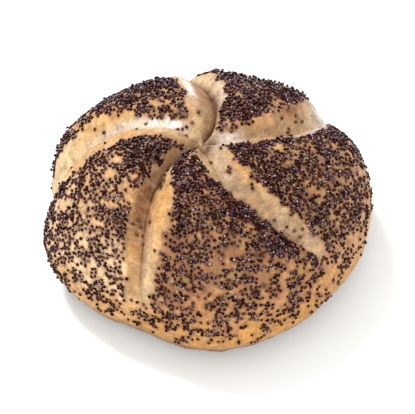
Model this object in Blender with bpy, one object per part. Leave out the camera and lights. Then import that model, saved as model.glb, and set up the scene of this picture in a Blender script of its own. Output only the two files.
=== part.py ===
"""A seeded kaiser roll: a low domed loaf, about 98 mm across and 46 mm high, resting on its flat underside.

Five grooves curve out from a pit near the middle of the crown, turning counter-clockwise as seen from above, and
part the loaf into five lobes. Each groove has one broad wall and one narrow one. The crown carries small round
seeds, sunk into the crust of the lobes and left out of the grooves. Front is -Y and the loaf rests on z = 0.
"""

import math
from collections import namedtuple

import bmesh
import bpy
import numpy as np
from mathutils import Matrix, Vector
from mathutils.bvhtree import BVHTree

MM = 0.001

RADIUS = 48.5 * MM
CREST_HEIGHT = 46.3 * MM
WAIST_HEIGHT = 14.6 * MM
UNDERSIDE_DROP = 23.0 * MM
BASE_ROUNDING = 2.5 * MM
SHOULDER_POWER = 2.25
STAR_CENTRE = (-0.9 * MM, 3.8 * MM)
PIT_DEPTH = 4.0 * MM
PIT_RADIUS = 6.5 * MM

SEGMENTS_PER_LOBE = 12
RINGS = 36
COLUMN_EASING = 0.45

SEED_COUNT = 225
SEED_LENGTH = 1.20 * MM
SEED_WIDTH = 1.00 * MM
SEED_THICKNESS = 0.92 * MM
SEED_SINK = 0.30
SEED_SIZES = (1.06, 0.88)
SEED_LOWEST = 0.64 * math.pi
SEED_INNERMOST = 0.12
SEED_CANDIDATES = 1500
SEED_ORDER = 11

# azimuth: where the groove reaches the rim, in degrees; sweep: its turn on the way out; hook: how the turn is spread.
# depths, clockwise and counter_clockwise (the widths of the two walls) are in mm, at the centre, one third out, two
# thirds out and at the rim. lips: how far each wall is a rolled lip rather than a slope. fade: shares of the radius
# between which the groove runs out. seeds: shares of each wall from which it carries seeds. rim: in mm.
Groove = namedtuple(
    "Groove", "name azimuth sweep hook depths clockwise counter_clockwise lips fade seeds rim"
)
GROOVES = (
    Groove("right_back", 43.5, 41, 0.55, (4.0, 4.6, 5.2, 4.0), (4.0, 6.5, 7.0, 6.0), (3.0, 4.5, 8.0, 10.5),
           (0.5, 0.1), (0.92, 1.25), (0.25, 1.0), 3.3),
    Groove("back", 101, 48, 1.35, (5.5, 6.5, 6.0, 3.0), (3.0, 3.3, 4.2, 5.0), (4.5, 7.0, 7.5, 4.5),
           (0.5, 0.4), (0.85, 1.15), (1.0, 1.0), -0.8),
    Groove("left", 177, 41.5, 1.05, (4.0, 5.0, 5.2, 2.5), (5.0, 7.0, 8.0, 7.0), (6.0, 9.0, 9.0, 7.0),
           (0.2, 0.5), (0.95, 1.30), (1.0, 0.25), -2.2),
    Groove("front_left", 244.5, 33.5, 1.2, (4.5, 6.0, 6.0, 2.0), (2.5, 5.8, 8.2, 3.5), (4.0, 6.0, 6.0, 3.0),
           (0.2, 0.5), (0.80, 1.10), (1.0, 1.0), -4.6),
    Groove("front_right", 326, 46, 0.67, (4.5, 5.5, 5.0, 1.5), (4.0, 5.0, 5.0, 3.0), (4.5, 5.5, 5.5, 3.5),
           (0.7, 0.2), (0.80, 1.05), (0.3, 1.0), -1.5),
)

# Each lobe lies counter-clockwise of the groove in the same place above: how far its rim stands out in its first and
# its last third, and how far its crown is puffed up, in mm; then how closely it is seeded.
Lobe = namedtuple("Lobe", "name rim_first rim_last puff seeding")
LOBES = (
    Lobe("back_right", -1.7, -0.8, 1.2, 1.25),
    Lobe("back_left", -2.3, 1.0, 1.5, 1.0),
    Lobe("left_front", 0.8, -2.3, 0.8, 0.95),
    Lobe("front", -1.2, -1.9, 1.2, 1.0),
    Lobe("right", 0.8, 2.5, 1.2, 1.1),
)
COUNT = len(GROOVES)


def smoothstep(low, high, x):
    t = np.clip((x - low) / (high - low), 0, 1)
    return t * t * (3 - 2 * t)


def hermite(knots, values, slopes, x):
    """The smooth curve through values at knots, with these slopes there."""
    i = np.clip(np.searchsorted(knots, x, side="right") - 1, 0, len(knots) - 2)
    span = knots[i + 1] - knots[i]
    t = (x - knots[i]) / span
    start, end = slopes[i] * span, slopes[i + 1] * span
    rise = values[i + 1] - values[i]
    return values[i] + t * (start + t * (3 * rise - 2 * start - end + t * (start + end - 2 * rise)))


def along(values, share):
    """A smooth run through values spaced evenly from the centre out to the rim, in metres."""
    values = np.array(values) * MM
    knots = np.linspace(0, 1, len(values))
    return np.maximum(hermite(knots, values, np.gradient(values, knots), np.clip(share, 0, 1)), 0.3 * MM)


def around(azimuth, knots, values):
    """A smooth closed run through values at these azimuths."""
    knots = np.array(knots)
    values = np.array(values)
    turn = 2 * math.pi
    slopes = (np.roll(values, -1) - np.roll(values, 1)) / np.mod(np.roll(knots, -1) - np.roll(knots, 1), turn)
    closed = np.append(knots, knots[0] + turn)
    azimuth = np.mod(azimuth - knots[0], turn) + knots[0]
    return hermite(closed, np.append(values, values[0]), np.append(slopes, slopes[0]), azimuth)


def crease_azimuth(groove, share):
    turned = groove.sweep * (1 - np.clip(share, 0, 0.9999)) ** groove.hook
    return np.radians(groove.azimuth - turned)


def rim_offset(azimuth):
    """How far the rim stands out from a circle: in at the grooves, out at the lobes."""
    knots, offsets = [], []
    for n, (groove, lobe) in enumerate(zip(GROOVES, LOBES)):
        third = ((GROOVES[(n + 1) % COUNT].azimuth - groove.azimuth) % 360) / 3
        knots += [math.radians(groove.azimuth + third * i) for i in range(3)]
        offsets += [groove.rim * MM, lobe.rim_first * MM, lobe.rim_last * MM]
    return around(azimuth, knots, offsets)


def envelope(azimuth, polar):
    """The loaf without grooves: a dome that bulges at its waist and draws in below it."""
    sine, cosine = np.sin(polar), np.cos(polar)
    share = np.abs(sine) ** (2 / SHOULDER_POWER)
    rise = np.abs(cosine) ** (2 / SHOULDER_POWER)
    radius = RADIUS + rim_offset(azimuth) * smoothstep(0.2, 1.0, share)
    lift = np.where(cosine > 0, CREST_HEIGHT - WAIST_HEIGHT, -UNDERSIDE_DROP)
    inward = np.where(cosine > 0, 1 - share ** 2, 0)
    x = radius * share * np.cos(azimuth) + STAR_CENTRE[0] * inward
    y = radius * share * np.sin(azimuth) + STAR_CENTRE[1] * inward
    return np.stack([x, y, WAIST_HEIGHT + rise * lift], -1)


def wall(distance, width, lip):
    """Depth of a groove's wall, 1 at the crease and 0 at its top edge."""
    u = np.clip(distance / width, 0, 1)
    rolled = 1 - np.sqrt(np.clip(1 - (1 - u) ** 2, 0, 1))
    slope = (1 - u) ** 1.7 * (1 + 0.7 * u)
    return lip * rolled + (1 - lip) * slope


def shares_of(polar):
    """The share of the radius reached on the crown, then the same run on past 1 below the waist."""
    share = np.abs(np.sin(polar)) ** (2 / SHOULDER_POWER)
    crown = polar < math.pi / 2
    return np.where(crown, share, 1.0), np.where(crown, share, 2 - share)


def walls_of(lobe, fraction, share):
    """The azimuth of a point of a lobe, then its distance to the crease before it and that wall's width, then
    the same for the crease after it."""
    groove, following = GROOVES[lobe], GROOVES[(lobe + 1) % COUNT]
    start = crease_azimuth(groove, share)
    end = crease_azimuth(following, share) + (2 * math.pi if lobe == COUNT - 1 else 0)
    azimuth = start + fraction * (end - start)
    inner = np.clip(share, 0.01, 0.97)
    distances = []
    for crease, angle in ((groove, azimuth - start), (following, end - azimuth)):
        turn = (crease_azimuth(crease, inner + 0.001) - crease_azimuth(crease, inner - 0.001)) / 0.002
        distances.append(RADIUS * np.maximum(share, 0.0001) * angle / np.sqrt(1 + (inner * turn) ** 2))
    room = 0.48 * (distances[0] + distances[1]) + 0.3 * MM
    before = np.minimum(along(groove.counter_clockwise, share), room)
    after = np.minimum(along(following.clockwise, share), room)
    return azimuth, distances[0], before, distances[1], after


def relief(lobe, fraction, share, reach):
    """The azimuth of a point of a lobe, and its height over the envelope."""
    azimuth, before, width_before, after, width_after = walls_of(lobe, fraction, share)
    groove, following = GROOVES[lobe], GROOVES[(lobe + 1) % COUNT]
    first = along(groove.depths, share) * (1 - smoothstep(*groove.fade, reach))
    first = first * wall(before, width_before, groove.lips[1])
    second = along(following.depths, share) * (1 - smoothstep(*following.fade, reach))
    second = second * wall(after, width_after, following.lips[0])
    pit = PIT_DEPTH * np.exp(-((RADIUS * share / PIT_RADIUS) ** 2))
    puff = LOBES[lobe].puff * MM * np.sin(math.pi * fraction) ** 2
    puff = puff * smoothstep(0.0, 0.5, share) * (1 - smoothstep(0.8, 1.1, reach))
    return azimuth, puff - pit - (first ** 3 + second ** 3) ** (1 / 3)


def settled(z):
    """Flat at zero, with a rounded edge, where the loaf rests."""
    rounded = (z + BASE_ROUNDING) ** 2 / (4 * BASE_ROUNDING)
    return np.where(z > BASE_ROUNDING, z, np.where(z < -BASE_ROUNDING, 0.0, rounded))


def surface(lobe, fraction, polar):
    """Points of the crust of one lobe: fraction runs from its first crease to its last."""
    share, reach = shares_of(polar)
    azimuth, height = relief(lobe, fraction, share, reach)
    step = 0.0001
    across = envelope(azimuth + step, polar) - envelope(azimuth - step, polar)
    down = envelope(azimuth, np.minimum(polar + step, math.pi)) - envelope(azimuth, np.maximum(polar - step, 0))
    normal = np.cross(down, across)
    length = np.linalg.norm(normal, axis=-1, keepdims=True)
    normal = np.where(length > 1e-12, normal / np.maximum(length, 1e-12), (0.0, 0.0, 1.0))
    points = envelope(azimuth, polar) + normal * height[..., None]
    points[..., 2] = settled(points[..., 2])
    return points


def eased(fraction):
    """Draws the columns of a lobe towards its two creases."""
    return (1 - COLUMN_EASING) * fraction + COLUMN_EASING * (0.5 - 0.5 * np.cos(math.pi * fraction))


def clear_scene():
    for thing in list(bpy.data.objects):
        bpy.data.objects.remove(thing, do_unlink=True)
    for group in list(bpy.data.collections):
        bpy.data.collections.remove(group)


def crust_material():
    material = bpy.data.materials.new("crust")
    material.use_nodes = True
    shader = material.node_tree.nodes["Principled BSDF"]
    shader.inputs["Base Color"].default_value = (0.50, 0.29, 0.12, 1.0)
    shader.inputs["Roughness"].default_value = 0.55
    return material


def add_object(name, mesh, group):
    added = bpy.data.objects.new(name, mesh)
    group.objects.link(added)
    return added


def shaped_loaf(group):
    """A sphere whose meridians are bent to follow the creases, with every point moved onto the crust, centred over
    the origin. Returns the shift that centred it too."""
    segments = SEGMENTS_PER_LOBE * COUNT
    sphere = bmesh.new()
    bmesh.ops.create_uvsphere(sphere, u_segments=segments, v_segments=RINGS, radius=1)
    for vertex in sphere.verts:
        polar = math.acos(max(-1.0, min(1.0, vertex.co.z)))
        column = round(math.atan2(vertex.co.y, vertex.co.x) / (2 * math.pi) * segments) % segments
        lobe, place = divmod(column, SEGMENTS_PER_LOBE)
        fraction = eased(np.array(place / SEGMENTS_PER_LOBE))
        vertex.co = Vector(surface(lobe, fraction, np.array(polar)))
    mesh = bpy.data.meshes.new("roll")
    sphere.to_mesh(mesh)
    sphere.free()
    points = np.array([vertex.co for vertex in mesh.vertices])
    middle = (points.min(axis=0) + points.max(axis=0)) / 2
    shift = Vector((-middle[0], -middle[1], 0))
    mesh.transform(Matrix.Translation(shift))
    return add_object("roll", mesh, group), shift


def seeded_here(lobe, fraction, share, reach):
    """Whether points of a lobe lie outside the pit and the bare walls of its grooves."""
    _, before, width_before, after, width_after = walls_of(lobe, fraction, share)
    first = before > GROOVES[lobe].seeds[1] * width_before + SEED_LENGTH / 2
    last = after > GROOVES[(lobe + 1) % COUNT].seeds[0] * width_after + SEED_LENGTH / 2
    return (first & last & (share > SEED_INNERMOST)) | (reach > 1)


def seed_candidates(chance):
    """Random spots over the seeded crust, lobe by lobe, with how closely each lobe is seeded."""
    spots, crowding = [], []
    for lobe in range(COUNT):
        fraction = chance.random(SEED_CANDIDATES)
        polar = SEED_LOWEST * np.sqrt(chance.random(SEED_CANDIDATES))
        share, reach = shares_of(polar)
        kept = seeded_here(lobe, fraction, share, reach)
        spots.append(surface(lobe, fraction[kept], polar[kept]))
        crowding.append(np.full(kept.sum(), LOBES[lobe].seeding))
    return np.concatenate(spots), np.concatenate(crowding)


def seed_spots(chance):
    """Spreads the seeds evenly: each one takes the candidate that lies farthest from all before it."""
    spots, crowding = seed_candidates(chance)
    clear = np.full(len(spots), np.inf)
    chosen = [0]
    for _ in range(SEED_COUNT - 1):
        gaps = np.linalg.norm(spots - spots[chosen[-1]], axis=1) * np.sqrt(crowding)
        clear = np.minimum(clear, gaps)
        chosen.append(int(clear.argmax()))
    return spots[chosen]


def add_seeds(loaf, group, shift):
    """Small flattened balls, part sunk into the crust, in a collection of their own."""
    chance = np.random.default_rng(SEED_ORDER)
    crust = bmesh.new()
    crust.from_mesh(loaf.data)
    tree = BVHTree.FromBMesh(crust)
    largest, smallest = SEED_SIZES
    for n, spot in enumerate(seed_spots(chance)):
        place, normal, _, _ = tree.find_nearest(Vector(spot) + shift)
        size = largest + (smallest - largest) * n / SEED_COUNT
        turn = Matrix.Rotation(chance.random() * 2 * math.pi, 4, "Z")
        stand = normal.to_track_quat("Z", "Y").to_matrix().to_4x4()
        scale = Matrix.Diagonal((SEED_LENGTH / 2, SEED_WIDTH / 2, SEED_THICKNESS / 2, 1.0))
        lift = Matrix.Translation(place + normal * (0.5 - SEED_SINK) * SEED_THICKNESS)
        ball = bmesh.new()
        bmesh.ops.create_icosphere(ball, subdivisions=1, radius=size)
        ball.transform(lift @ stand @ turn @ scale)
        mesh = bpy.data.meshes.new(f"seed_{n}")
        ball.to_mesh(mesh)
        ball.free()
        add_object(f"seed_{n}", mesh, group)
    crust.free()


def fuse(loaf, group):
    """One union joins the seeds to the loaf, and the seeds' own objects then go."""
    union = loaf.modifiers.new("seeds", "BOOLEAN")
    union.operation = "UNION"
    union.operand_type = "COLLECTION"
    union.collection = group
    bpy.context.view_layer.update()
    fused = bpy.data.meshes.new_from_object(loaf.evaluated_get(bpy.context.evaluated_depsgraph_get()))
    loaf.modifiers.clear()
    loaf.data = fused
    for seed in list(group.objects):
        bpy.data.objects.remove(seed, do_unlink=True)
    bpy.data.collections.remove(group)


def build():
    clear_scene()
    parts = bpy.data.collections.new("poppy_seed_kaiser_roll")
    seeds = bpy.data.collections.new("seeds")
    bpy.context.scene.collection.children.link(parts)
    bpy.context.scene.collection.children.link(seeds)
    loaf, shift = shaped_loaf(parts)
    add_seeds(loaf, seeds, shift)
    fuse(loaf, seeds)
    loaf.data.name = "roll"
    loaf.data.materials.clear()
    loaf.data.materials.append(crust_material())


build()
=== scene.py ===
"""The looks of a poppy seed kaiser roll: crust, bare groove walls, loose seeds, floor, light and camera.

The loaf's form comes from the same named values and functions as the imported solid. Front is -Y, in metres.
"""

import math
from collections import namedtuple

import bmesh
import bpy
import numpy as np
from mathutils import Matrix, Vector, kdtree, noise


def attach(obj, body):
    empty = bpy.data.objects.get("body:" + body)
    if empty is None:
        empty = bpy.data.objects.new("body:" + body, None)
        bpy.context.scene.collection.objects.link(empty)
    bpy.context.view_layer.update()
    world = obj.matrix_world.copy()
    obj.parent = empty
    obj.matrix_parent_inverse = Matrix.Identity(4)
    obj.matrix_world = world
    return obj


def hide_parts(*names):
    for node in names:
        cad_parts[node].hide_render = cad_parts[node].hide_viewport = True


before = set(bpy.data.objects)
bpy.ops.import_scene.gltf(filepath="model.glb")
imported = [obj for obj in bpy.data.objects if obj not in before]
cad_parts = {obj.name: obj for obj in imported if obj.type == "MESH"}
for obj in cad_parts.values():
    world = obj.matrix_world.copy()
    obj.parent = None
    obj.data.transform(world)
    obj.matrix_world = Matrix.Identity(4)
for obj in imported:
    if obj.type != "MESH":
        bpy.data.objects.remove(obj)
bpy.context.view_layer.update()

MM = 0.001

RADIUS = 48.5 * MM
CREST_HEIGHT = 46.3 * MM
WAIST_HEIGHT = 14.6 * MM
UNDERSIDE_DROP = 23.0 * MM
BASE_ROUNDING = 2.5 * MM
SHOULDER_POWER = 2.25
STAR_CENTRE = (-0.9 * MM, 3.8 * MM)
PIT_DEPTH = 4.0 * MM
PIT_RADIUS = 6.5 * MM
# Moves the loaf so that its box is centred over the origin.
CENTRING = (-1.434 * MM, -0.287 * MM, 0.0)

# azimuth: where the groove reaches the rim, in degrees; sweep: its turn on the way out; hook: how the turn
# is spread. depths, clockwise and counter_clockwise (the widths of the two walls) are in mm, at the centre,
# one third out, two thirds out and at the rim. lips: how far each wall is a rolled lip rather than a slope.
# fade: shares of the radius between which the groove runs out. rim: how far the rim stands out at it, in mm.
Groove = namedtuple("Groove", "name azimuth sweep hook depths clockwise counter_clockwise lips fade rim")
GROOVES = (
    Groove("right_back", 43.5, 41, 0.55, (4.0, 4.6, 5.2, 4.0), (4.0, 6.5, 7.0, 6.0), (3.0, 4.5, 8.0, 10.5),
           (0.5, 0.1), (0.92, 1.25), 3.3),
    Groove("back", 101, 48, 1.35, (5.5, 6.5, 6.0, 3.0), (3.0, 3.3, 4.2, 5.0), (4.5, 7.0, 7.5, 4.5),
           (0.5, 0.4), (0.85, 1.15), -0.8),
    Groove("left", 177, 41.5, 1.05, (4.0, 5.0, 5.2, 2.5), (5.0, 7.0, 8.0, 7.0), (6.0, 9.0, 9.0, 7.0),
           (0.2, 0.5), (0.95, 1.30), -2.2),
    Groove("front_left", 244.5, 33.5, 1.2, (4.5, 6.0, 6.0, 2.0), (2.5, 5.8, 8.2, 3.5), (4.0, 6.0, 6.0, 3.0),
           (0.2, 0.5), (0.80, 1.10), -4.6),
    Groove("front_right", 326, 46, 0.67, (4.5, 5.5, 5.0, 1.5), (4.0, 5.0, 5.0, 3.0), (4.5, 5.5, 5.5, 3.5),
           (0.7, 0.2), (0.80, 1.05), -1.5),
)

# What is bare of seeds along each groove, in the order above: the widths on its clockwise and its
# counter-clockwise side, in mm, at five places from the centre to the rim, less than 0 where the seeds of
# that side reach over the crease; the polar angle where the bare dough ends, in degrees; how deep the crease
# is and how much brown and painted shade lie along it, from 0 to 1.
Bare = namedtuple("Bare", "clockwise counter_clockwise end crease")
SEEDS_OVER_CREASE = -3.0 * MM
BARE = (
    Bare((5.5, 5.2, 3.8, 1.8, 0.0), (2.6, 2.8, 5.9, 8.0, 9.5), 100, 0.12),
    Bare((2.5, 1.8, 3.0, 4.0, 4.5), (8.6, 8.6, 9.2, 8.5, 5.0), 96, 0.95),
    Bare((5.0, 3.0, 4.6, 7.8, 6.8), (5.0, 7.2, 9.0, 8.6, 7.2), 98, 0.12),
    Bare((0.8, 2.4, 3.7, 4.8, 5.0), (0.3, 1.6, 7.6, 7.2, 3.4), 84, 0.75),
    Bare((1.6, 3.6, -1.2, -0.6, 0.5), (4.8, 6.0, 7.2, 6.2, 0.8), 72, 0.20),
)
BARE_ENDS = [bare.end for bare in BARE]
CREASES = [bare.crease for bare in BARE]

# Each lobe lies counter-clockwise of the groove in the same place above: how far its rim stands out in its
# first and its last third, and how far its crown is puffed up, in mm; its seeds to a square mm; the polar
# angle where they end, in degrees; the colour of its crust.
Lobe = namedtuple("Lobe", "name rim_first rim_last puff seeding lowest_seeds red green blue")
LOBES = (
    Lobe("back_right", -1.7, -0.8, 1.2, 4.00, 96, 0.36, 0.165, 0.095),
    Lobe("back_left", -2.3, 1.0, 1.5, 2.80, 96, 0.44, 0.225, 0.095),
    Lobe("left_front", 0.8, -2.3, 0.8, 1.65, 102, 0.57, 0.370, 0.215),
    Lobe("front", -1.2, -1.9, 1.2, 2.70, 98, 0.255, 0.110, 0.044),
    Lobe("right", 0.8, 2.5, 1.2, 2.50, 91, 0.34, 0.170, 0.080),
)
COUNT = len(GROOVES)

# Places where seeds lie thicker or thinner: the fraction across the lobe, the share of the radius, the size
# of the place in mm, and what the seeding is multiplied by.
Sowing = namedtuple("Sowing", "lobe fraction share size factor")
SOWINGS = (
    Sowing("back_right", 0.40, 0.50, 14.0, 1.6),
    Sowing("back_right", 0.30, 0.50, 2.2, 0.10),
    Sowing("back_right", 0.28, 0.58, 2.2, 0.14),
    Sowing("back_left", 0.40, 0.60, 9.0, 2.8),
    Sowing("back_left", 0.75, 0.90, 9.0, 0.8),
    Sowing("left_front", 0.45, 0.40, 7.0, 5.0),
    Sowing("left_front", 0.70, 0.24, 4.0, 4.0),
    Sowing("left_front", 0.72, 0.42, 5.0, 2.5),
    Sowing("left_front", 0.82, 0.75, 4.0, 3.0),
    Sowing("left_front", 0.55, 0.86, 7.0, 0.8),
    Sowing("front", 0.40, 0.27, 5.0, 4.0),
    Sowing("front", 0.60, 0.45, 9.0, 1.8),
    Sowing("front", 0.90, 0.58, 5.0, 3.0),
    Sowing("front", 0.64, 0.74, 2.4, 0.35),
    Sowing("front", 0.75, 0.91, 5.0, 0.30),
    Sowing("front", 0.45, 0.88, 8.0, 0.60),
    Sowing("front", 0.95, 0.99, 5.0, 0.15),
    Sowing("front", 0.90, 0.80, 5.0, 3.0),
    Sowing("right", 0.60, 0.24, 5.0, 3.0),
    Sowing("right", 0.82, 0.50, 5.0, 2.4),
    Sowing("right", 0.88, 0.76, 5.0, 3.0),
    Sowing("right", 0.35, 0.50, 7.0, 1.8),
    Sowing("right", 0.66, 0.52, 4.0, 0.45),
    Sowing("right", 0.55, 0.97, 15.0, 0.52),
)

# Places on the bare walls where a few seeds fell: the fraction across the lobe, the share of the radius, how
# far round it they lie in mm, and about how many they are.
Fallen = namedtuple("Fallen", "lobe fraction share size count")
FALLEN = (
    Fallen("back_right", 0.06, 0.58, 4.0, 6),
    Fallen("back_left", 0.88, 0.32, 1.6, 3),
    Fallen("back_left", 0.88, 0.74, 2.5, 4),
    Fallen("back_left", 0.90, 0.16, 2.0, 2),
    Fallen("left_front", 0.94, 0.68, 4.0, 5),
    Fallen("front", 0.06, 0.40, 1.8, 9),
    Fallen("front", 0.06, 0.74, 4.0, 4),
    Fallen("right", 0.32, 0.15, 1.8, 4),
    Fallen("right", 0.15, 0.44, 1.2, 5),
    Fallen("right", 0.15, 0.30, 1.0, 3),
    Fallen("right", 0.14, 0.72, 4.0, 4),
)

COLUMNS_PER_LOBE = 88
CROWN_ROWS = 178
LOWER_ROWS = 30
COLUMN_EASING = 0.30

# Fractal noise over the crust: the size of its features in mm, its octaves, and an offset that keeps it apart
# from the others.
Field = namedtuple("Field", "name size octaves offset")
FIELDS = (
    Field("lump", 13, 3, 1.0),
    Field("dimple", 4.5, 3, 5.0),
    Field("wrinkle", 1.5, 2, 9.0),
    Field("mottle", 9, 3, 13.0),
    Field("clump", 2.3, 2, 17.0),
    Field("drift", 6.0, 2, 21.0),
    Field("ragged", 3.2, 3, 25.0),
    Field("blotch", 3.0, 2, 33.0),
)
# The torn fibres of the bare walls are noise that is drawn out across the groove.
FIBRE_THICKNESS = 0.55 * MM
FIBRE_LENGTH = 2.6 * MM
FIBRE_OCTAVES = 3
FIBRE_OFFSET = 29.0

# The heights of the fine relief.
LUMP_HEIGHT = 0.55 * MM
DIMPLE_HEIGHT = 0.24 * MM
WRINKLE_HEIGHT = 0.08 * MM
FIBRE_HEIGHT = 0.07 * MM
# The crust stands up a little along the edge of the seeds.
EDGE_HEIGHT = 0.12 * MM
EDGE_WIDTH = 1.0 * MM
# That edge wanders, and it is soft.
EDGE_WANDER = 1.6 * MM
EDGE_SOFTNESS = 0.6 * MM
# The bottom of each crease is rounded up, and a slit is cut into it where the crease is deep.
CREASE_ROUNDING = 0.9 * MM
ROUNDING_WIDTH = 1.1 * MM
SLIT_DEPTH = 0.5 * MM
SLIT_WIDTH = 0.45 * MM

RANDOM_ORDER = 7
SEED_LENGTH = 1.10 * MM
SEED_WIDTH = 0.90 * MM
SEED_THICKNESS = 0.82 * MM
SEED_SPREAD = 0.13
SEED_TILT = 0.30
# A seed's tips taper, its back is bent, and its hollow side has a dent.
SEED_TAPER = 0.30
SEED_BEND = 0.45
SEED_DENT = 0.14
SEED_SPACING = 0.74 * MM
# How far a seed's middle lies over the crust, in mm: the least, and how much more by chance.
SEED_LIFT = (0.06, 0.18)
# More seeds lie on others where those are crowded: how many to a square mm, and from what crowding to what.
PILED_SEEDS = 0.60
PILE_CROWDING = (0.60, 1.10)
PILE_SPACING = 1.00 * MM
PILE_LIFT = 0.62 * MM
PILE_LIFT_SPREAD = 0.35 * MM
STRAYS = 0.003
# How the seeds gather: the weights of the two noises and of the places above, then what the seeding is
# multiplied by where they gather least, and how much is added to that where they gather most.
GATHERING = (0.70, 0.55, 0.28)
GATHERED_LEAST = 0.10
GATHERED_RISE = 1.8
# Seeds lie in rows on the front lobe: how strongly, and how many radians of a row's wave to a degree.
ROW_STRENGTH = 0.85
ROW_PITCH = 1.1
# How much thinner seeds lie on the sides than on the crown.
SIDE_THINNING = 0.40
# How often the counts of seeds are blurred over the grid, which tells how crowded they lie.
CROWD_BLURS = 14

# The painted glint on a seed, a pale highlight, lies on its outer side and leans this way, more or less.
GLINT_LEAN = (-0.15, 0.10, 0.45)
GLINT_SCATTER = 0.75
GLINT_EDGE = 0.78
# The higher this is, the fewer seeds have much painted glint: those at the front, and those that face the
# back.
GLINT_RARITY = 2.4
BACK_GLINT_RARITY = 0.6

# Colours as linear red, green and blue.
TONES = {
    "tan": (0.38, 0.215, 0.100),
    "cream": (0.62, 0.430, 0.230),
    "gold": (0.56, 0.280, 0.082),
    "brown": (0.22, 0.088, 0.028),
    "straw": (0.50, 0.300, 0.105),
    "pink": (0.53, 0.370, 0.245),
    # Pale dough: flour dust on the walls, and painted highlights.
    "flour_and_highlight": (0.84, 0.76, 0.68),
}
# The kinds of seed: their share of all the seeds, the shades that their coats lie between, and the colour of
# the painted glint on them. The last kind has no share, as it is what lies on the bare walls.
Coat = namedtuple("Coat", "name share dark light bloom")
COATS = (
    Coat("seeds_slate", 0.34, (0.006, 0.0012, 0.0014), (0.022, 0.0062, 0.0090), (0.58, 0.50, 0.60)),
    Coat("seeds_plum", 0.34, (0.013, 0.0020, 0.0020), (0.052, 0.0110, 0.0120), (0.76, 0.56, 0.62)),
    Coat("seeds_umber", 0.19, (0.023, 0.0055, 0.0035), (0.090, 0.0280, 0.0150), (0.62, 0.40, 0.34)),
    Coat("seeds_lilac", 0.12, (0.028, 0.0100, 0.0120), (0.130, 0.0650, 0.0720), (1.00, 0.82, 0.88)),
    Coat("seeds_tan", 0.01, (0.20, 0.10, 0.05), (0.40, 0.25, 0.14), (0.70, 0.56, 0.42)),
    Coat("seeds_brown", None, (0.035, 0.013, 0.006), (0.14, 0.055, 0.022), (0.40, 0.22, 0.14)),
)
WALL_COAT = len(COATS) - 1
FLECK_BROWN = (0.26, 0.10, 0.04)
RIM_ORANGE = (0.495, 0.236, 0.051)
# Painted shade, dark brown, round each seed and where seeds crowd, and how far it reaches from a seed.
PAINTED_SEED_SHADE = (0.075, 0.020, 0.007)
SEED_SHADE_REACH = 0.66 * MM
# Along the creases the crust is browner and painted with shade, this wide.
CREASE_BROWN_AND_SHADE = (0.19, 0.078, 0.036)
CREASE_SHADE_WIDTH = 1.2 * MM
# Where the grooves meet, the dough of the pit is painted darker and browner, as painted shade.
Spot = namedtuple("Spot", "lobe fraction share size")
PIT = Spot("right", 0.30, 0.04, 3.4)
PIT_SHADE = (0.22, 0.115, 0.066)
# Where the crust turns under it is browner and painted with shade.
UNDERSIDE_SHADE_BROWN = (0.13, 0.050, 0.018)
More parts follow.
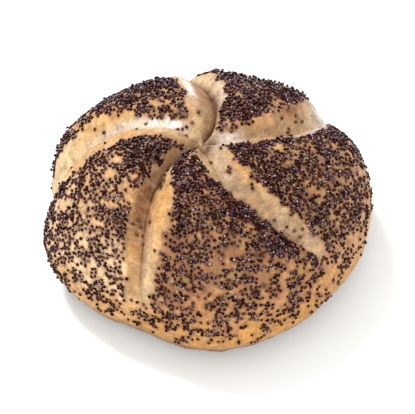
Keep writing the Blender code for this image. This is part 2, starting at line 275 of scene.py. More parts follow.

# Tones of the walls, laid over one another in this order: the groove and its side, the share of the radius
# and the distance from the crease in mm where the tone is strongest, how far it spreads in the same measures,
# and how strong it is. A flour patch is pale dough with a painted highlight on it.
Patch = namedtuple("Patch", "tone groove side share across spread width strength")
PATCHES = (
    Patch("cream", "left", "cw", 0.62, 3.0, 0.60, 5.0, 0.8),
    Patch("gold", "left", "cw", 0.62, 5.8, 0.22, 2.6, 1.0),
    Patch("gold", "left", "cw", 0.77, 4.4, 0.09, 2.8, 0.7),
    Patch("gold", "left", "cw", 0.45, 3.6, 0.12, 1.2, 0.9),
    Patch("flour_and_highlight", "left", "cw", 0.44, 1.7, 0.22, 1.5, 0.8),
    Patch("flour_and_highlight", "left", "cw", 0.29, 1.4, 0.13, 1.7, 1.0),
    Patch("flour_and_highlight", "left", "ccw", 0.38, 0.8, 0.10, 1.5, 1.0),
    Patch("pink", "left", "cw", 0.60, 0.6, 0.16, 2.0, 0.9),
    Patch("pink", "left", "ccw", 0.56, 0.8, 0.12, 1.2, 0.9),
    Patch("cream", "left", "cw", 0.95, 4.0, 0.14, 5.0, 1.0),
    Patch("gold", "left", "ccw", 0.48, 5.0, 0.16, 3.0, 0.95),
    Patch("gold", "left", "ccw", 0.82, 6.0, 0.22, 2.8, 0.9),
    Patch("cream", "left", "ccw", 0.26, 2.4, 0.16, 2.6, 0.9),
    Patch("tan", "back", "ccw", 0.42, 3.6, 0.40, 2.4, 1.0),
    Patch("pink", "back", "ccw", 0.36, 0.6, 0.20, 1.8, 0.6),
    Patch("flour_and_highlight", "back", "cw", 0.44, 1.8, 0.22, 1.5, 0.55),
    Patch("brown", "back", "ccw", 0.40, 3.8, 0.18, 1.8, 0.40),
    Patch("brown", "back", "ccw", 0.21, 6.4, 0.08, 3.0, 0.45),
    Patch("flour_and_highlight", "back", "ccw", 0.46, 7.2, 0.13, 1.4, 0.9),
    # Partly painted shade: browner right along the crease.
    Patch("brown", "back", "ccw", 0.26, 0.6, 0.30, 1.7, 0.70),
    Patch("cream", "back", "ccw", 0.13, 5.0, 0.11, 3.5, 0.5),
    Patch("gold", "back", "ccw", 0.24, 8.0, 0.07, 1.5, 0.5),
    # Partly painted light: paler cream on this wall where it faces away from the key light.
    Patch("cream", "back", "cw", 0.55, 2.0, 0.25, 1.6, 0.6),
    Patch("flour_and_highlight", "right_back", "ccw", 0.16, 0.8, 0.10, 1.6, 0.9),
    Patch("flour_and_highlight", "right_back", "cw", 0.18, 3.0, 0.09, 3.0, 0.9),
    Patch("cream", "right_back", "cw", 0.48, 1.6, 0.20, 2.6, 0.8),
    Patch("flour_and_highlight", "right_back", "cw", 0.78, 1.0, 0.14, 2.6, 0.8),
    Patch("tan", "right_back", "ccw", 0.45, 1.6, 0.22, 2.2, 0.6),
    Patch("gold", "right_back", "ccw", 0.36, 4.0, 0.12, 1.6, 0.8),
    Patch("gold", "right_back", "ccw", 0.60, 5.0, 0.16, 1.2, 0.5),
    Patch("brown", "right_back", "ccw", 0.56, 6.8, 0.20, 2.0, 1.0),
    Patch("flour_and_highlight", "right_back", "ccw", 0.90, 3.5, 0.12, 4.5, 0.85),
    # Painted shade that darkens the right lobe's lip, which the sky lights more than the wall above it.
    Patch("brown", "right_back", "cw", 0.55, 3.0, 0.45, 4.0, 0.45),
    Patch("tan", "front_right", "ccw", 0.58, 3.4, 0.20, 4.0, 0.8),
    Patch("pink", "front_right", "ccw", 0.24, 2.4, 0.18, 2.6, 0.9),
    Patch("gold", "front_right", "ccw", 0.34, 6.4, 0.14, 1.7, 1.0),
    Patch("pink", "front_right", "ccw", 0.85, 2.6, 0.12, 2.4, 0.4),
    # Painted shade in a thin crack near the rim.
    Patch("brown", "front_right", "ccw", 0.83, 1.5, 0.05, 0.4, 0.8),
    Patch("brown", "front_left", "cw", 0.60, 3.0, 0.36, 6.0, 1.0),
    Patch("gold", "front_left", "cw", 0.88, 3.0, 0.12, 4.0, 0.5),
    Patch("tan", "front_left", "ccw", 0.45, 7.0, 0.14, 2.8, 1.0),
    Patch("gold", "front_left", "ccw", 0.55, 5.0, 0.24, 3.6, 1.0),
    Patch("cream", "front_left", "ccw", 0.84, 2.6, 0.18, 3.0, 0.5),
    # Partly painted shade: browner right along the crease.
    Patch("brown", "front_left", "ccw", 0.62, 0.0, 0.30, 1.6, 0.8),
)
SIDES = {"ccw": 0, "cw": -1}

CAMERA_ELEVATION = 48
CAMERA_DISTANCE = 0.60
# The photo's middle, seen on the loaf before it is centred.
CAMERA_AIM = (0.78 * MM, 0.0, 18.5 * MM)
PHOTO_WIDTH = 415
PIXELS_PER_METRE = 3330
SENSOR_WIDTH = 36

# The floor's tint wanders between these two.
FLOOR_TINTS = ((0.90, 0.93, 0.92, 1.0), (0.93, 0.96, 0.95, 1.0))
FLOOR_SIZE = 3
FLOOR_ROUGHNESS = 0.85
WORLD_STRENGTH = 0.95
# Square soft boxes: places and sizes in metres, power in watts.
SoftBox = namedtuple("SoftBox", "name place size power")
SOFT_BOXES = (
    SoftBox("key", (-0.50, 0.60, 1.15), 0.32, 15.0),
    SoftBox("fill", (0.20, -1.20, 0.80), 1.4, 11.0),
)
LIGHT_AIM = (0, 0, 0.02)


def smoothstep(low, high, x):
    t = np.clip((x - low) / (high - low), 0, 1)
    return t * t * (3 - 2 * t)


def hermite(knots, values, slopes, x):
    """The smooth curve through values at knots, with these slopes there."""
    i = np.clip(np.searchsorted(knots, x, side="right") - 1, 0, len(knots) - 2)
    span = knots[i + 1] - knots[i]
    t = (x - knots[i]) / span
    start, end = slopes[i] * span, slopes[i + 1] * span
    rise = values[i + 1] - values[i]
    return values[i] + t * (start + t * (3 * rise - 2 * start - end + t * (start + end - 2 * rise)))


def along(values, share, least=0.3 * MM):
    """A smooth run through values spaced evenly from the centre out to the rim, in metres."""
    values = np.array(values) * MM
    knots = np.linspace(0, 1, len(values))
    return np.maximum(hermite(knots, values, np.gradient(values, knots), np.clip(share, 0, 1)), least)


def around(azimuth, knots, values):
    """A smooth closed run through values at these azimuths."""
    knots = np.array(knots)
    values = np.array(values)
    turn = 2 * math.pi
    slopes = (np.roll(values, -1) - np.roll(values, 1)) / np.mod(np.roll(knots, -1) - np.roll(knots, 1), turn)
    closed = np.append(knots, knots[0] + turn)
    azimuth = np.mod(azimuth - knots[0], turn) + knots[0]
    return hermite(closed, np.append(values, values[0]), np.append(slopes, slopes[0]), azimuth)


def crease_azimuth(groove, share):
    turned = groove.sweep * (1 - np.clip(share, 0, 0.9999)) ** groove.hook
    return np.radians(groove.azimuth - turned)


def rim_offset(azimuth):
    """How far the rim stands out from a circle: in at the grooves, out at the lobes."""
    knots, offsets = [], []
    for n, (groove, lobe) in enumerate(zip(GROOVES, LOBES)):
        third = ((GROOVES[(n + 1) % COUNT].azimuth - groove.azimuth) % 360) / 3
        knots += [math.radians(groove.azimuth + third * i) for i in range(3)]
        offsets += [groove.rim * MM, lobe.rim_first * MM, lobe.rim_last * MM]
    return around(azimuth, knots, offsets)


def envelope(azimuth, polar):
    """The loaf without grooves: a dome that bulges at its waist and draws in below it."""
    sine, cosine = np.sin(polar), np.cos(polar)
    share = np.abs(sine) ** (2 / SHOULDER_POWER)
    rise = np.abs(cosine) ** (2 / SHOULDER_POWER)
    radius = RADIUS + rim_offset(azimuth) * smoothstep(0.2, 1.0, share)
    lift = np.where(cosine > 0, CREST_HEIGHT - WAIST_HEIGHT, -UNDERSIDE_DROP)
    inward = np.where(cosine > 0, 1 - share ** 2, 0)
    x = radius * share * np.cos(azimuth) + STAR_CENTRE[0] * inward
    y = radius * share * np.sin(azimuth) + STAR_CENTRE[1] * inward
    return np.stack([x, y, WAIST_HEIGHT + rise * lift], -1)


def wall(distance, width, lip):
    """Depth of a groove's wall, 1 at the crease and 0 at its top edge."""
    u = np.clip(distance / width, 0, 1)
    rolled = 1 - np.sqrt(np.clip(1 - (1 - u) ** 2, 0, 1))
    slope = (1 - u) ** 1.7 * (1 + 0.7 * u)
    return lip * rolled + (1 - lip) * slope


def shares_of(polar):
    """The share of the radius reached on the crown, then the same run on past 1 below the waist."""
    share = np.abs(np.sin(polar)) ** (2 / SHOULDER_POWER)
    crown = polar < math.pi / 2
    return np.where(crown, share, 1.0), np.where(crown, share, 2 - share)


def creases_of(lobe, fraction, share):
    """The azimuth of a point of a lobe, and its distances to the crease before it and the one after it."""
    groove, following = GROOVES[lobe], GROOVES[(lobe + 1) % COUNT]
    start = crease_azimuth(groove, share)
    end = crease_azimuth(following, share) + (2 * math.pi if lobe == COUNT - 1 else 0)
    azimuth = start + fraction * (end - start)
    inner = np.clip(share, 0.01, 0.97)
    distances = []
    for crease, angle in ((groove, azimuth - start), (following, end - azimuth)):
        turn = (crease_azimuth(crease, inner + 0.001) - crease_azimuth(crease, inner - 0.001)) / 0.002
        distances.append(RADIUS * np.maximum(share, 0.0001) * angle / np.sqrt(1 + (inner * turn) ** 2))
    return azimuth, distances[0], distances[1]


def relief(lobe, fraction, share, reach):
    """The azimuth of a point of a lobe, and its height over the envelope."""
    azimuth, before, after = creases_of(lobe, fraction, share)
    groove, following = GROOVES[lobe], GROOVES[(lobe + 1) % COUNT]
    room = 0.48 * (before + after) + 0.3 * MM
    first = along(groove.depths, share) * (1 - smoothstep(*groove.fade, reach))
    first = first * wall(before, np.minimum(along(groove.counter_clockwise, share), room), groove.lips[1])
    second = along(following.depths, share) * (1 - smoothstep(*following.fade, reach))
    second = second * wall(after, np.minimum(along(following.clockwise, share), room), following.lips[0])
    pit = PIT_DEPTH * np.exp(-((RADIUS * share / PIT_RADIUS) ** 2))
    puff = LOBES[lobe].puff * MM * np.sin(math.pi * fraction) ** 2
    puff = puff * smoothstep(0.0, 0.5, share) * (1 - smoothstep(0.8, 1.1, reach))
    return azimuth, puff - pit - (first ** 3 + second ** 3) ** (1 / 3)


def settled(z):
    """Flat at zero, with a rounded edge, where the loaf rests."""
    rounded = (z + BASE_ROUNDING) ** 2 / (4 * BASE_ROUNDING)
    return np.where(z > BASE_ROUNDING, z, np.where(z < -BASE_ROUNDING, 0.0, rounded))


def surface(lobe, fraction, polar):
    """Points of the crust of one lobe: fraction runs from its first crease to its last."""
    share, reach = shares_of(polar)
    azimuth, height = relief(lobe, fraction, share, reach)
    step = 0.0001
    across = envelope(azimuth + step, polar) - envelope(azimuth - step, polar)
    below, above = np.minimum(polar + step, math.pi), np.maximum(polar - step, 0)
    down = envelope(azimuth, below) - envelope(azimuth, above)
    normal = np.cross(down, across)
    length = np.linalg.norm(normal, axis=-1, keepdims=True)
    normal = np.where(length > 1e-12, normal / np.maximum(length, 1e-12), (0.0, 0.0, 1.0))
    points = envelope(azimuth, polar) + normal * height[..., None]
    points[..., 2] = settled(points[..., 2])
    return points


def eased(fraction):
    """Draws the columns of a lobe towards its two creases."""
    return (1 - COLUMN_EASING) * fraction + COLUMN_EASING * (0.5 - 0.5 * np.cos(math.pi * fraction))


def fractal(points, size, octaves, offset):
    """Fractal noise of about -1 to 1 at each point, with features of this size."""
    shifted = points.reshape(-1, 3) / size + (offset, -1.7 * offset, 0.6 * offset)
    values = [noise.fractal(p, 1.0, 2.0, octaves) for p in shifted.tolist()]
    return np.array(values).reshape(points.shape[:-1])


def mixed(low, high, amount):
    low, high = np.array(low), np.array(high)
    return low + (high - low) * amount[..., None]


class Crust:
    """The loaf's surface as a grid of points, one column for each step round it and one row for each step
    down, with what is known of each point."""

    def __init__(self):
        crown = np.linspace(0.012, 0.5, CROWN_ROWS, endpoint=False)
        lower = np.linspace(0.5, 0.985, LOWER_ROWS)
        polar = np.concatenate([crown, lower]) * math.pi
        step = eased(np.arange(COLUMNS_PER_LOBE) / COLUMNS_PER_LOBE)
        fraction, polar = np.meshgrid(step, polar, indexing="ij")
        share, reach = shares_of(polar)
        points, before, after, lobes = [], [], [], []
        for n in range(COUNT):
            _, first, last = creases_of(n, fraction, share)
            points.append(surface(n, fraction, polar))
            before.append(first)
            after.append(last)
            lobes.append(np.full(fraction.shape, n))
        self.points = np.concatenate(points) + np.array(CENTRING)
        self.before = np.concatenate(before)
        self.after = np.concatenate(after)
        self.lobe = np.concatenate(lobes)
        self.fraction = np.tile(fraction, (COUNT, 1))
        self.polar = np.degrees(np.tile(polar, (COUNT, 1)))
        self.share = np.tile(share, (COUNT, 1))
        self.reach = np.tile(reach, (COUNT, 1))
        self.shape = self.share.shape
        self.first_side = self.before < self.after
        self.nearest = np.minimum(self.before, self.after)
        self.groove = np.where(self.first_side, self.lobe, (self.lobe + 1) % COUNT)

    def normals(self):
        """Outward normals from the grid's own neighbours."""
        round_it = np.roll(self.points, -1, axis=0) - np.roll(self.points, 1, axis=0)
        down = np.gradient(self.points, axis=1)
        normal = np.cross(down, round_it)
        return normal / np.maximum(np.linalg.norm(normal, axis=-1, keepdims=True), 1e-12)

    def round_place(self, place):
        """A soft spot on the crown round a place of that size: 1 in its middle, 0 well away from it."""
        number = [lobe.name for lobe in LOBES].index(place.lobe)
        across = np.searchsorted(self.fraction[:COLUMNS_PER_LOBE, 0], place.fraction)
        column = number * COLUMNS_PER_LOBE + across
        row = np.searchsorted(self.share[0, :CROWN_ROWS], place.share)
        away = np.linalg.norm(self.points - self.points[column, row], axis=-1) / (place.size * MM)
        return np.exp(-(away ** 2))

    def of_groove(self, values):
        """A value of the groove that is nearest."""
        return np.array(values)[self.groove]

    def of_lobe(self, values):
        """A value of the lobes, blended a little across the creases."""
        values = np.array(values, float)
        here = values[self.lobe]
        neighbour = np.where(self.first_side, values[self.lobe - 1], values[(self.lobe + 1) % COUNT])
        return here + (neighbour - here) * 0.5 * (1 - smoothstep(0, 4 * MM, self.nearest))

    def past_edges(self):
        """How far each point lies beyond the nearer edge of the seeds. Less than 0 is bare dough."""
        past = np.zeros(self.shape)
        for n in range(COUNT):
            starting, ending = BARE[n], BARE[(n + 1) % COUNT]
            own = np.minimum(self.before - along(starting.counter_clockwise, self.share, SEEDS_OVER_CREASE),
                             self.after - along(ending.clockwise, self.share, SEEDS_OVER_CREASE))
            over_first = -self.before - along(starting.clockwise, self.share, SEEDS_OVER_CREASE)
            over_last = -self.after - along(ending.counter_clockwise, self.share, SEEDS_OVER_CREASE)
            past += (self.lobe == n) * np.maximum(own, np.maximum(over_first, over_last))
        return past


def bare_dough(crust, past, fields):
    """1 on the bare walls of the grooves and 0 on the seeded crust, with a ragged edge between."""
    edge = past + EDGE_WANDER * fields["ragged"]
    inside = 1 - smoothstep(-EDGE_SOFTNESS, EDGE_SOFTNESS, edge)
    end = crust.of_groove(BARE_ENDS) + 7 * fields["dimple"]
    return inside * (1 - smoothstep(-6, 6, crust.polar - end))


def add_fine_relief(crust, bare, past, fields):
    """Lumps, dimples and skin wrinkles, torn fibres on the walls, and a jagged slit in each crease."""
    normal = crust.normals()
    standing = smoothstep(0.0, 3 * MM, crust.points[..., 2])
    centre = smoothstep(0.02, 0.12, crust.share)
    height = LUMP_HEIGHT * fields["lump"] + DIMPLE_HEIGHT * fields["dimple"]
    height = height + WRINKLE_HEIGHT * fields["wrinkle"] * (1 - 0.5 * bare)
    height = height + FIBRE_HEIGHT * fields["fibre"] * bare
    height = height + EDGE_HEIGHT * np.exp(-((past / EDGE_WIDTH) ** 2)) * (crust.polar < 90)
    depth = crust.of_groove(CREASES)
    rounding = CREASE_ROUNDING * (1 - 0.6 * depth) * np.exp(-((crust.nearest / ROUNDING_WIDTH) ** 2))
    slit = SLIT_DEPTH * depth * np.exp(-((crust.nearest / SLIT_WIDTH) ** 2)) * (0.5 + 1.2 * fields["ragged"])
    height = height + (rounding - slit) * (1 - smoothstep(0.90, 1.0, crust.reach)) * centre
    crust.points = crust.points + normal * (height * standing * (0.3 + 0.7 * centre))[..., None]
    crust.points[..., 2] = np.maximum(crust.points[..., 2], 0)


def flow_coordinates(crust):
    """Where each point lies along its groove and across it, scaled so that noise there looks like fibres."""
    across = np.where(crust.first_side, crust.before, -crust.after)
    apart = crust.groove * 7.0
    return np.stack([crust.share * RADIUS / FIBRE_THICKNESS, across / FIBRE_LENGTH, apart], -1)


def seed_density(crust, bare, past, fields):
    """How many seeds are thrown on each square metre."""
    density = crust.of_lobe([lobe.seeding for lobe in LOBES]) / MM ** 2
    sown = np.ones(crust.shape)
    for sowing in SOWINGS:
        sown = sown * sowing.factor ** crust.round_place(sowing)
    by_clump, by_drift, by_place = GATHERING
    gathered = by_clump * fields["clump"] + by_drift * fields["drift"] + by_place * np.log(sown)
    density = density * sown * (GATHERED_LEAST + GATHERED_RISE * smoothstep(-0.34, 0.26, gathered))
    density = density * (1 + np.exp(-(((past - 1.0 * MM) / (1.6 * MM)) ** 2)))
    front = crust.of_lobe([lobe.name == "front" for lobe in LOBES])
    rows = np.sin(crust.polar * ROW_PITCH + 3.4 * fields["dimple"] + 7 * crust.fraction)
    density = density * (1 + ROW_STRENGTH * front * rows)
    density = density * (1 - SIDE_THINNING * smoothstep(50, 75, crust.polar))
    lowest = crust.of_lobe([lobe.lowest_seeds for lobe in LOBES])
    density = density * (1 - smoothstep(-24, 0, crust.polar - lowest + 9 * fields["dimple"]))
    density = density * (1 - bare)
    past_walls = smoothstep(0.0, 0.5 * MM, past + 1.5 * MM * fields["ragged"])
    below_walls = smoothstep(-6, 6, crust.polar - crust.of_groove(BARE_ENDS))
    density = density * np.maximum(past_walls, below_walls)
    strays = STRAYS / MM ** 2 * (crust.polar < 104) * (1 + 3 * bare * np.exp(past / (2.5 * MM)))
    for fallen in FALLEN:
        strays = strays + fallen.count / (math.pi * (fallen.size * MM) ** 2) * crust.round_place(fallen)
    return density + strays


def thrown_on(crust, density, spacing, chance):
    """Random spots as thick as the density says, without those nearer to another than the spacing."""
    right = np.roll(crust.points, -1, axis=0) - crust.points
    down = crust.points[:, 1:] - crust.points[:, :-1]
    expected = np.linalg.norm(np.cross(right[:, :-1], down), axis=-1) * density[:, :-1]
    count = int(expected.sum())
    picked = chance.choice(expected.size, count, p=(expected / expected.sum()).ravel())
    column, row = np.unravel_index(picked, expected.shape)
    u, v = chance.random((2, count))
    following = (column + 1) % crust.shape[0]
    weights = ((1 - u) * (1 - v), u * (1 - v), (1 - u) * v, u * v)
    corners = ((column, row), (following, row), (column, row + 1), (following, row + 1))
    normals = crust.normals()
    spot = sum(w[:, None] * crust.points[c] for w, c in zip(weights, corners))
    normal = sum(w[:, None] * normals[c] for w, c in zip(weights, corners))
    tree = kdtree.KDTree(count)
    for n, place in enumerate(spot.tolist()):
        tree.insert(place, n)
    tree.balance()
    kept = [False] * count
    for n, place in enumerate(spot.tolist()):
        kept[n] = not any(kept[m] for _, m, _ in tree.find_range(place, spacing))
    kept = np.array(kept)
    unit = normal[kept] / np.linalg.norm(normal[kept], axis=1, keepdims=True)
    return spot[kept], unit, column[kept], row[kept]


def crowding(crust, column, row):
    """How many seeds there are to a square mm round each point of the grid."""
    crowd = np.zeros(crust.shape)
    np.add.at(crowd, (column, row), 1)
    right = np.linalg.norm(np.roll(crust.points, -1, 0) - crust.points, axis=-1)
    down = np.linalg.norm(np.gradient(crust.points, axis=1), axis=-1)
    area = right * down / MM ** 2
    for _ in range(CROWD_BLURS):
        for values in (crowd, area):
            values[:] = (np.roll(values, 1, 0) + np.roll(values, -1, 0) + 2 * values) / 4
            padded = np.pad(values, ((0, 0), (1, 1)), "edge")
            values[:] = (padded[:, :-2] + padded[:, 2:] + 2 * values) / 4
    return crowd / np.maximum(area, 1e-6)


def seed_template():
    """One seed of unit length: a kidney with a dent in its hollow side, as vertices and triangles."""
    ball = bmesh.new()
    bmesh.ops.create_icosphere(ball, subdivisions=2, radius=0.5)
    ball.verts.ensure_lookup_table()
    points = np.array([v.co for v in ball.verts])
    faces = np.array([[v.index for v in f.verts] for f in ball.faces])
    ball.free()
    x, y, z = points.T.copy()
    tip = 1 - SEED_TAPER * smoothstep(0.2, 0.5, np.abs(x))
    hollow = np.exp(-((x / 0.16) ** 2)) * smoothstep(0.1, 0.45, -y)
    y = y * tip - SEED_BEND * (x ** 2 - 0.08) + SEED_DENT * hollow
    return np.stack([x, y, z * tip], -1), faces


def add_seeds(name, spot, normal, lift, chance, material):
    """One piece that holds all the seeds of a kind, each with its own size, tilt, turn and shade."""
    template, faces = seed_template()
    count = len(spot)
    flat = normal + SEED_TILT * chance.normal(size=(count, 3))
    flat = flat / np.linalg.norm(flat, axis=1, keepdims=True)
    long_way = np.cross(flat, chance.normal(size=(count, 3)))
    long_way = long_way / np.linalg.norm(long_way, axis=1, keepdims=True)
    axes = (long_way, np.cross(flat, long_way), flat)
    sizes = np.array([SEED_LENGTH, SEED_WIDTH, SEED_THICKNESS])
    grown = np.clip(1 + SEED_SPREAD * chance.normal(size=(count, 3)), 0.75, 1.25)
    scaled = template[None] * (sizes * grown)[:, None]
    centre = spot + normal * lift[:, None]
    points = centre[:, None] + sum(scaled[..., i, None] * axes[i][:, None] for i in range(3))
    points[..., 2] = np.maximum(points[..., 2], 0.05 * MM)
    every = faces[None] + np.arange(count)[:, None, None] * len(template)
    mesh = bpy.data.meshes.new(name)
    mesh.from_pydata(points.reshape(-1, 3).tolist(), [], every.reshape(-1, 3).tolist())
    mesh.shade_smooth()
    put_values(mesh, "shade", np.repeat(chance.random(count), len(template)))
    outward = points - centre[:, None]
    outward = outward / np.linalg.norm(outward, axis=-1, keepdims=True)
    # A painted glint: a pale highlight on the side of each seed that faces up and back-left, strong on few
    # seeds.
    upward = normal + np.array(GLINT_LEAN) + GLINT_SCATTER * chance.normal(size=(count, 3))
    upward = upward / np.linalg.norm(upward, axis=1, keepdims=True)
    facing = (outward * upward[:, None]).sum(axis=-1)
    rarity = GLINT_RARITY + (BACK_GLINT_RARITY - GLINT_RARITY) * smoothstep(-0.1, 0.5, normal[:, 1])
    much = (chance.random(count) ** rarity)[:, None]
    put_values(mesh, "bloom", smoothstep(GLINT_EDGE, 1.0, facing) * much)
    mesh.materials.append(material)
    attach(add_object(name, mesh), "root")


def put_values(mesh, name, values):
    layer = mesh.attributes.new(name, "FLOAT", "POINT")
    layer.data.foreach_set("value", np.asarray(values, np.float32).ravel())


def put_colours(mesh, name, colours):
    layer = mesh.attributes.new(name, "FLOAT_COLOR", "POINT")
    opaque = np.concatenate([colours.reshape(-1, 3), np.ones((colours.size // 3, 1))], axis=1)
    layer.data.foreach_set("color", opaque.astype(np.float32).ravel())


def add_object(name, data):
    added = bpy.data.objects.new(name, data)
    bpy.context.scene.collection.objects.link(added)
    return added


def wall_tone(crust, fields):
    """The colour of the bare dough: tan and cream, with the patches laid over."""
    tone = mixed(TONES["tan"], TONES["cream"], 0.7 * smoothstep(-0.7, 0.9, fields["mottle"]))
    names = [groove.name for groove in GROOVES]
    for patch in PATCHES:
        number = names.index(patch.groove)
        across = crust.before if patch.side == "ccw" else crust.after
        here = crust.lobe == (number + SIDES[patch.side]) % COUNT
        away = ((crust.reach - patch.share) / patch.spread) ** 2
        away = away + ((across - patch.across * MM) / (patch.width * MM)) ** 2
        amount = here * patch.strength * np.exp(-away) * (1 + 0.6 * fields["ragged"] + 0.3 * fields["fibre"])
        tone = mixed(tone, TONES[patch.tone], np.clip(amount, 0, 1))
    return tone


def beside_seeds(crust, spot):
    """1 where a seed sits on the crust, and less away from it."""
    tree = kdtree.KDTree(len(spot))
    for n, place in enumerate(spot.tolist()):
        tree.insert(place, n)
    tree.balance()
    away = np.array([tree.find(p)[2] for p in crust.points.reshape(-1, 3).tolist()]).reshape(crust.shape)
    return np.exp(-((away / SEED_SHADE_REACH) ** 2))


def crust_tone(crust, bare, fields, crowd, beside):
    """The colour of each point before the fine mottling that the material adds."""
    parts = [[lobe.red for lobe in LOBES], [lobe.green for lobe in LOBES], [lobe.blue for lobe in LOBES]]
    tone = np.stack([crust.of_lobe(part) for part in parts], -1)
    tone = tone * (1 + 0.30 * fields["mottle"] + 0.60 * smoothstep(45, 75, crust.polar))[..., None]
    tone = mixed(tone, TONES["gold"], 0.35 * smoothstep(-0.2, 0.6, fields["dimple"]))
    pale = crust.of_lobe([lobe.name == "left_front" for lobe in LOBES])
    tone = mixed(tone, TONES["gold"], 0.6 * pale * (1 - smoothstep(38, 62, crust.polar)))
    blotchy = 0.60 - 0.35 * pale
    tone = mixed(tone, TONES["brown"], blotchy * smoothstep(0.0, 0.6, fields["blotch"]))
    tone = mixed(tone, TONES["straw"], blotchy * smoothstep(0.0, 0.6, -fields["blotch"]))
    tone = mixed(tone, wall_tone(crust, fields), bare)
    # Painted shade in the pit where the grooves meet.
    pit = crust.round_place(PIT) * (0.9 + 0.4 * fields["ragged"])
    tone = mixed(tone, PIT_SHADE, np.clip(pit, 0, 1))
    rim = smoothstep(76, 92, crust.polar + 12 * fields["mottle"])
    tone = mixed(tone, RIM_ORANGE, 0.85 * rim * (1 - 0.7 * bare))
    # Painted shade where the seeds crowd and close round each seed.
    brown = 0.75 * smoothstep(0.55, 1.15, crowd) * (1 - bare)
    tone = mixed(tone, PAINTED_SEED_SHADE, np.maximum(brown, 0.80 * beside))
    # Painted shade, over a browner crust, where the loaf turns under.
    tone = mixed(tone, UNDERSIDE_SHADE_BROWN, smoothstep(97, 112, crust.polar + 4 * fields["dimple"]))
    # Painted shade, a little browner, along the bottom of each crease.
    crease = np.exp(-((crust.nearest / CREASE_SHADE_WIDTH) ** 2)) * (1 - smoothstep(0.85, 1.0, crust.reach))
    return mixed(tone, CREASE_BROWN_AND_SHADE, 0.9 * crust.of_groove(CREASES) * crease)


def nodes_of(material):
    material.use_nodes = True
    tree = material.node_tree
    return tree, tree.nodes["Principled BSDF"]


def add_node(tree, kind, inputs=None, **settings):
    """A node with its settings made. inputs maps a socket's name or number to a value or another socket."""
    node = tree.nodes.new(kind)
    for name, value in settings.items():
        setattr(node, name, value)
    for name, value in (inputs or {}).items():
        socket = node.inputs[name]
        if isinstance(value, bpy.types.NodeSocket):
            tree.links.new(value, socket)
        else:
            socket.default_value = value
    return node


def noise_node(tree, vector, scale, detail=3.0, roughness=0.55):
    """Noise, mostly between 0.3 and 0.7, with this many features to a unit of the vector."""
    values = {"Vector": vector, "Scale": scale, "Detail": detail, "Roughness": roughness}
    return add_node(tree, "ShaderNodeTexNoise", values).outputs["Fac"]


def spread_node(tree, value, low, high, to_low, to_high):
    """The value moved from the range low to high into the range to_low to to_high."""
    values = {"Value": value, "From Min": low, "From Max": high, "To Min": to_low, "To Max": to_high}
    return add_node(tree, "ShaderNodeMapRange", values).outputs["Result"]


def mix_node(tree, factor, first, second, blend="MIX"):
    """Mixes two colours. A Mix node's colour sockets are its seventh and eighth."""
    values = {0: factor, 6: first, 7: second}
    node = add_node(tree, "ShaderNodeMix", values, data_type="RGBA", blend_type=blend)
    return node.outputs[2]


def math_node(tree, operation, first, second):
    return add_node(tree, "ShaderNodeMath", {0: first, 1: second}, operation=operation).outputs[0]


def crust_material():
    """Baked crust: each place's tone, mottled and flecked, dry skin on the lobes, fibres on the walls."""
    material = bpy.data.materials.new("crust")
    tree, shader = nodes_of(material)
    place = add_node(tree, "ShaderNodeTexCoord").outputs["Object"]
    tone = add_node(tree, "ShaderNodeAttribute", attribute_name="tone").outputs["Color"]
    bare = add_node(tree, "ShaderNodeAttribute", attribute_name="bare").outputs["Fac"]
    flow = add_node(tree, "ShaderNodeAttribute", attribute_name="flow").outputs["Vector"]

    mottle = spread_node(tree, noise_node(tree, place, 420), 0.32, 0.68, 0.74, 1.24)
    grain = spread_node(tree, noise_node(tree, place, 1700, 3.0, 0.65), 0.3, 0.7, 0.76, 1.20)
    colour = mix_node(tree, 1.0, tone, math_node(tree, "MULTIPLY", mottle, grain), "MULTIPLY")

    flecks = noise_node(tree, place, 900, 1.0)
    flecks = spread_node(tree, flecks, 0.54, 0.68, 0.0, 0.6)
    on_lobes = math_node(tree, "SUBTRACT", 1.0, bare)
    flecks = math_node(tree, "MULTIPLY", flecks, on_lobes)
    colour = mix_node(tree, flecks, colour, (*FLECK_BROWN, 1.0))

    waves = {"Vector": place, "Scale": 380.0, "Detail": 3.0}
    waves = add_node(tree, "ShaderNodeTexNoise", waves).outputs["Color"]
    torn_way = {0: waves, 1: (6.0, 3.0, 0.0), 2: flow}
    torn_way = add_node(tree, "ShaderNodeVectorMath", torn_way, operation="MULTIPLY_ADD").outputs["Vector"]
    fibres = noise_node(tree, torn_way, 1.1, 4.0, 0.7)
    light = spread_node(tree, fibres, 0.34, 0.66, 0.76, 1.15)
    light = math_node(tree, "MULTIPLY", math_node(tree, "SUBTRACT", light, 1.0), bare)
    colour = mix_node(tree, 1.0, colour, math_node(tree, "ADD", light, 1.0), "MULTIPLY")
    dust = spread_node(tree, noise_node(tree, torn_way, 0.6, 4.0, 0.7), 0.52, 0.75, 0.0, 0.11)
    colour = mix_node(tree, math_node(tree, "MULTIPLY", dust, bare), colour, (*TONES["flour_and_highlight"], 1.0))
    tree.links.new(colour, shader.inputs["Base Color"])

    rough = spread_node(tree, noise_node(tree, place, 700), 0.3, 0.7, 0.44, 0.60)
    rough = math_node(tree, "ADD", rough, math_node(tree, "MULTIPLY", bare, 0.12))
    tree.links.new(rough, shader.inputs["Roughness"])

    skin = noise_node(tree, place, 2600, 3.0, 0.6)
    pores = noise_node(tree, place, 800, 2.0)
    dry = math_node(tree, "MULTIPLY", math_node(tree, "ADD", skin, pores), on_lobes)
    torn = math_node(tree, "MULTIPLY", math_node(tree, "ADD", fibres, pores), bare)
    height = math_node(tree, "MULTIPLY", math_node(tree, "ADD", dry, torn), 0.5)
    bump = {"Height": height, "Strength": 0.8, "Distance": 0.00032}
    tree.links.new(add_node(tree, "ShaderNodeBump", bump).outputs["Normal"], shader.inputs["Normal"])

    shader.inputs["Subsurface Weight"].default_value = 0.12
    shader.inputs["Subsurface Radius"].default_value = (1.0, 0.50, 0.25)
    shader.inputs["Subsurface Scale"].default_value = 0.0014
    shader.inputs["Specular IOR Level"].default_value = 0.35
    return material


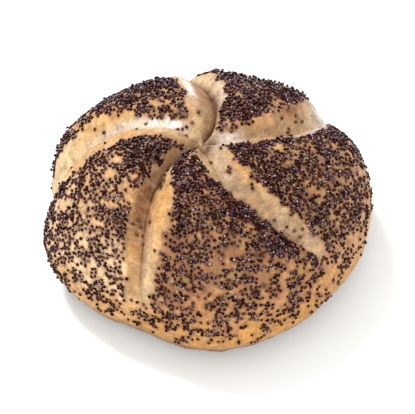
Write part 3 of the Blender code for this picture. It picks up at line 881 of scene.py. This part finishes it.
def seed_material(coat):
    """Seed coat: each seed has its own shade between two colours, a net of fine ridges and a low gloss."""
    material = bpy.data.materials.new(coat.name)
    tree, shader = nodes_of(material)
    place = add_node(tree, "ShaderNodeTexCoord").outputs["Object"]
    shade = add_node(tree, "ShaderNodeAttribute", attribute_name="shade").outputs["Fac"]
    clouds = spread_node(tree, noise_node(tree, place, 2400, 2.0), 0.35, 0.65, -0.25, 0.25)
    amount = add_node(tree, "ShaderNodeClamp", {"Value": math_node(tree, "ADD", shade, clouds)}).outputs[0]
    colour = mix_node(tree, amount, (*coat.dark, 1.0), (*coat.light, 1.0))
    # The painted glint lightens the seed where it is set.
    bloom = add_node(tree, "ShaderNodeAttribute", attribute_name="bloom").outputs["Fac"]
    colour = mix_node(tree, bloom, colour, (*coat.bloom, 1.0))
    tree.links.new(colour, shader.inputs["Base Color"])
    net = add_node(tree, "ShaderNodeTexVoronoi", {"Vector": place, "Scale": 6500.0}).outputs["Distance"]
    bump = {"Height": net, "Strength": 0.6, "Distance": 0.00007}
    tree.links.new(add_node(tree, "ShaderNodeBump", bump).outputs["Normal"], shader.inputs["Normal"])
    rough = spread_node(tree, noise_node(tree, place, 1500, 1.0), 0.3, 0.7, 0.20, 0.38)
    tree.links.new(rough, shader.inputs["Roughness"])
    shader.inputs["Specular IOR Level"].default_value = 0.05
    shader.inputs["Specular Tint"].default_value = (0.70, 0.35, 0.28, 1.0)
    return material


def add_loaf(crust, bare, tone):
    """The crust's grid as one closed mesh, with a point that closes it at the top and one underneath."""
    columns, rows = crust.shape
    index = np.arange(columns * rows).reshape(columns, rows)
    right = np.roll(index, -1, axis=0)
    quads = np.stack([index[:, :-1], index[:, 1:], right[:, 1:], right[:, :-1]], -1).reshape(-1, 4)
    top, bottom = columns * rows, columns * rows + 1
    cap = np.stack([np.full(columns, top), index[:, 0], right[:, 0]], -1)
    foot = np.stack([np.full(columns, bottom), right[:, -1], index[:, -1]], -1)

    def closed(values):
        """Values of the grid with those of the two closing points added."""
        ends = np.stack([values[:, 0].mean(axis=0), values[:, -1].mean(axis=0)])
        return np.concatenate([values.reshape(-1, *values.shape[2:]), ends])

    mesh = bpy.data.meshes.new("roll_crust")
    mesh.from_pydata(closed(crust.points).tolist(), [], quads.tolist() + cap.tolist() + foot.tolist())
    mesh.shade_smooth()
    put_colours(mesh, "tone", closed(tone))
    put_values(mesh, "bare", closed(bare))
    flow = mesh.attributes.new("flow", "FLOAT_VECTOR", "POINT")
    flow.data.foreach_set("vector", closed(flow_coordinates(crust)).astype(np.float32).ravel())
    mesh.materials.append(crust_material())
    piece = add_object("roll_crust", mesh)
    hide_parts("roll")
    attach(piece, "root")


def build_roll():
    chance = np.random.default_rng(RANDOM_ORDER)
    crust = Crust()
    fields = {f.name: fractal(crust.points, f.size * MM, f.octaves, f.offset) for f in FIELDS}
    fields["fibre"] = fractal(flow_coordinates(crust), 1.0, FIBRE_OCTAVES, FIBRE_OFFSET)
    past = crust.past_edges()
    bare = bare_dough(crust, past, fields)
    add_fine_relief(crust, bare, past, fields)
    density = seed_density(crust, bare, past, fields)
    spot, normal, column, row = thrown_on(crust, density, SEED_SPACING, chance)
    crowd = crowding(crust, column, row)
    add_loaf(crust, bare, crust_tone(crust, bare, fields, crowd, beside_seeds(crust, spot)))

    least, more = SEED_LIFT
    lift = (least + more * chance.random(len(spot))) * MM
    piles = PILED_SEEDS / MM ** 2 * smoothstep(*PILE_CROWDING, crowd)
    above, above_normal, _, _ = thrown_on(crust, piles, PILE_SPACING, chance)
    above_lift = PILE_LIFT + PILE_LIFT_SPREAD * chance.random(len(above))
    on_wall = np.concatenate([bare[column, row] > 0.5, np.zeros(len(above), bool)])
    spot = np.concatenate([spot, above])
    normal = np.concatenate([normal, above_normal])
    lift = np.concatenate([lift, above_lift])
    kind = chance.choice(WALL_COAT, len(spot), p=[coat.share for coat in COATS[:WALL_COAT]])
    kind[on_wall] = WALL_COAT
    for n, coat in enumerate(COATS):
        mine = kind == n
        add_seeds(coat.name, spot[mine], normal[mine], lift[mine], chance, seed_material(coat))


def floor_material():
    material = bpy.data.materials.new("floor")
    tree, shader = nodes_of(material)
    place = add_node(tree, "ShaderNodeTexCoord").outputs["Object"]
    tint = mix_node(tree, noise_node(tree, place, 3), *FLOOR_TINTS)
    tree.links.new(tint, shader.inputs["Base Color"])
    shader.inputs["Roughness"].default_value = FLOOR_ROUGHNESS
    return material


def add_floor():
    plane = bmesh.new()
    bmesh.ops.create_grid(plane, x_segments=1, y_segments=1, size=FLOOR_SIZE)
    mesh = bpy.data.meshes.new("floor")
    plane.to_mesh(mesh)
    plane.free()
    mesh.materials.append(floor_material())
    add_object("floor", mesh)


def add_light():
    """An even white world, and soft boxes that face the roll."""
    world = bpy.data.worlds.new("studio")
    world.use_nodes = True
    background = world.node_tree.nodes["Background"]
    background.inputs["Color"].default_value = (1.0, 1.0, 1.0, 1.0)
    background.inputs["Strength"].default_value = WORLD_STRENGTH
    bpy.context.scene.world = world
    for box in SOFT_BOXES:
        lamp = bpy.data.lights.new(box.name, "AREA")
        lamp.size = box.size
        lamp.energy = box.power
        light = add_object(box.name, lamp)
        light.location = box.place
        facing = Vector(LIGHT_AIM) - Vector(box.place)
        light.rotation_euler = facing.to_track_quat("-Z", "Y").to_euler()


def add_camera():
    camera = bpy.data.cameras.new("camera")
    camera.sensor_width = SENSOR_WIDTH
    camera.lens = PIXELS_PER_METRE * CAMERA_DISTANCE * SENSOR_WIDTH / PHOTO_WIDTH
    camera.clip_start = 0.01
    holder = add_object("camera", camera)
    elevation = math.radians(CAMERA_ELEVATION)
    back = Vector((0, -math.cos(elevation), math.sin(elevation)))
    holder.location = Vector(CAMERA_AIM) + Vector(CENTRING) + back * CAMERA_DISTANCE
    holder.rotation_euler = (-back).to_track_quat("-Z", "Y").to_euler()
    bpy.context.scene.camera = holder


bpy.context.scene.view_settings.view_transform = "Standard"
add_camera()
build_roll()
add_floor()
add_light()
